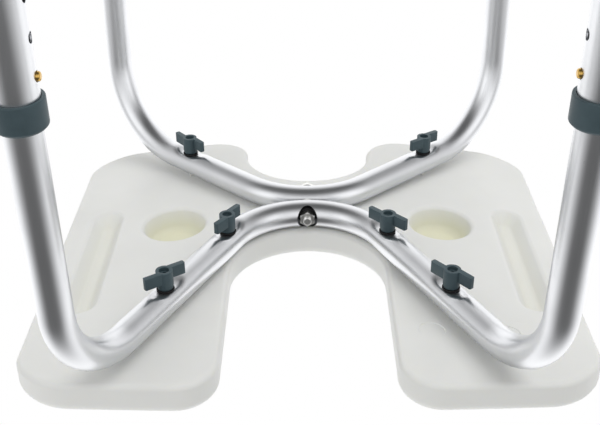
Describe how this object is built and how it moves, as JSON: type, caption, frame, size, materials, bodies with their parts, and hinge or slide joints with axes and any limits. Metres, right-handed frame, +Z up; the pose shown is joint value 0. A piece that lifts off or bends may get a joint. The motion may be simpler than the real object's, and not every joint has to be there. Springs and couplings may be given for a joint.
{
  "type": "shower stool",
  "caption": "Shower stool: dished hollow plastic seat with a deep front and shallow back cut-out, on crossing bent aluminium tubes with height-adjustable legs.",
  "frame": {"origin": "floor point under the middle of the whole box, the stool standing on its feet", "axes": "+Z up, -Y towards the deep cut-out (front), +X to the right seen from the front"},
  "size_m": [0.464, 0.5274, 0.5015],
  "materials": {
    "seat_plastic": "off-white blow-moulded polyethylene, fine satin texture, faintly translucent",
    "tube_aluminium": "satin anodised drawn aluminium tube",
    "grey_plastic": "blue-grey moulded nylon",
    "foot_rubber": "grey moulded rubber",
    "black_rubber": "black moulded rubber of the washers and the bush",
    "button_brass": "bright turned brass",
    "zinc_steel": "bright zinc-plated steel",
    "spring_steel": "spring steel strip"
  },
  "bodies": {
    "root": {"seat": "seat_plastic", "frame_tube_front": "tube_aluminium", "frame_tube_back": "tube_aluminium", "centre_bolt": "zinc_steel", "centre_nut": "zinc_steel", "centre_washer": "zinc_steel", "tube_spacer": "seat_plastic", "tube_bush": "black_rubber", "knob_washer_front_left_inner": "black_rubber", "knob_washer_front_left_outer": "black_rubber", "knob_washer_front_right_inner": "black_rubber", "knob_washer_front_right_outer": "black_rubber", "knob_washer_back_left": "black_rubber", "knob_washer_back_right": "black_rubber", "seat_stud_front_left_inner": "zinc_steel", "seat_stud_front_left_outer": "zinc_steel", "seat_stud_front_right_inner": "zinc_steel", "seat_stud_front_right_outer": "zinc_steel", "seat_stud_back_left": "zinc_steel", "seat_stud_back_right": "zinc_steel", "spring_base_front_left": "spring_steel", "spring_base_front_right": "spring_steel", "spring_base_back_left": "spring_steel", "spring_base_back_right": "spring_steel"},
    "leg_front_left": {"leg_extension_front_left": "tube_aluminium", "collar_front_left": "grey_plastic", "foot_front_left": "foot_rubber"},
    "leg_front_right": {"leg_extension_front_right": "tube_aluminium", "collar_front_right": "grey_plastic", "foot_front_right": "foot_rubber"},
    "leg_back_left": {"leg_extension_back_left": "tube_aluminium", "collar_back_left": "grey_plastic", "foot_back_left": "foot_rubber"},
    "leg_back_right": {"leg_extension_back_right": "tube_aluminium", "collar_back_right": "grey_plastic", "foot_back_right": "foot_rubber"},
    "button_front_left": {"snap_button_front_left": "button_brass", "spring_arm_front_left": "spring_steel"},
    "button_front_right": {"snap_button_front_right": "button_brass", "spring_arm_front_right": "spring_steel"},
    "button_back_left": {"snap_button_back_left": "button_brass", "spring_arm_back_left": "spring_steel"},
    "button_back_right": {"snap_button_back_right": "button_brass", "spring_arm_back_right": "spring_steel"},
    "knob_front_left_inner": {"wing_knob_front_left_inner": "grey_plastic"},
    "knob_front_left_outer": {"wing_knob_front_left_outer": "grey_plastic"},
    "knob_front_right_inner": {"wing_knob_front_right_inner": "grey_plastic"},
    "knob_front_right_outer": {"wing_knob_front_right_outer": "grey_plastic"},
    "knob_back_left": {"wing_knob_back_left": "grey_plastic"},
    "knob_back_right": {"wing_knob_back_right": "grey_plastic"}
  },
  "joints": [
    {"name": "leg_height_front_left", "type": "slide", "parent": "root", "child": "leg_front_left", "axis": [0, 0.05, 0.9988], "range_m": [0, 0.144]},
    {"name": "leg_height_front_right", "type": "slide", "parent": "root", "child": "leg_front_right", "axis": [0, 0.05, 0.9988], "range_m": [0, 0.144]},
    {"name": "leg_height_back_left", "type": "slide", "parent": "root", "child": "leg_back_left", "axis": [0, -0.0699, 0.9976], "range_m": [0, 0.144]},
    {"name": "leg_height_back_right", "type": "slide", "parent": "root", "child": "leg_back_right", "axis": [0, -0.0699, 0.9976], "range_m": [0, 0.144]},
    {"name": "button_press_front_left", "type": "hinge", "parent": "root", "child": "button_front_left", "pos_m": [-0.15883, -0.23147, 0.25404], "axis": [0, 0.9988, -0.05], "range_deg": [0, 5.1], "stiffness_Nm_per_rad": 3},
    {"name": "button_press_front_right", "type": "hinge", "parent": "root", "child": "button_front_right", "pos_m": [0.15883, -0.23147, 0.25404], "axis": [0, -0.9988, 0.05], "range_deg": [0, 5.1], "stiffness_Nm_per_rad": 3},
    {"name": "button_press_back_left", "type": "hinge", "parent": "root", "child": "button_back_left", "pos_m": [-0.18681, 0.22731, 0.24016], "axis": [0, 0.9976, 0.0699], "range_deg": [0, 5.1], "stiffness_Nm_per_rad": 3},
    {"name": "button_press_back_right", "type": "hinge", "parent": "root", "child": "button_back_right", "pos_m": [0.18681, 0.22731, 0.24016], "axis": [0, -0.9976, -0.0699], "range_deg": [0, 5.1], "stiffness_Nm_per_rad": 3},
    {"name": "knob_turn_front_left_inner", "type": "hinge", "parent": "root", "child": "knob_front_left_inner", "pos_m": [-0.07111, -0.01841, 0.4364], "axis": [0, 0, 1], "continuous": true},
    {"name": "knob_turn_front_left_outer", "type": "hinge", "parent": "root", "child": "knob_front_left_outer", "pos_m": [-0.11567, -0.10883, 0.4364], "axis": [0, 0, 1], "continuous": true},
    {"name": "knob_turn_front_right_inner", "type": "hinge", "parent": "root", "child": "knob_front_right_inner", "pos_m": [0.07111, -0.01841, 0.4364], "axis": [0, 0, 1], "continuous": true},
    {"name": "knob_turn_front_right_outer", "type": "hinge", "parent": "root", "child": "knob_front_right_outer", "pos_m": [0.11567, -0.10883, 0.4364], "axis": [0, 0, 1], "continuous": true},
    {"name": "knob_turn_back_left", "type": "hinge", "parent": "root", "child": "knob_back_left", "pos_m": [-0.12014, 0.14021, 0.4364], "axis": [0, 0, 1], "continuous": true},
    {"name": "knob_turn_back_right", "type": "hinge", "parent": "root", "child": "knob_back_right", "pos_m": [0.12014, 0.14021, 0.4364], "axis": [0, 0, 1], "continuous": true}
  ]
}
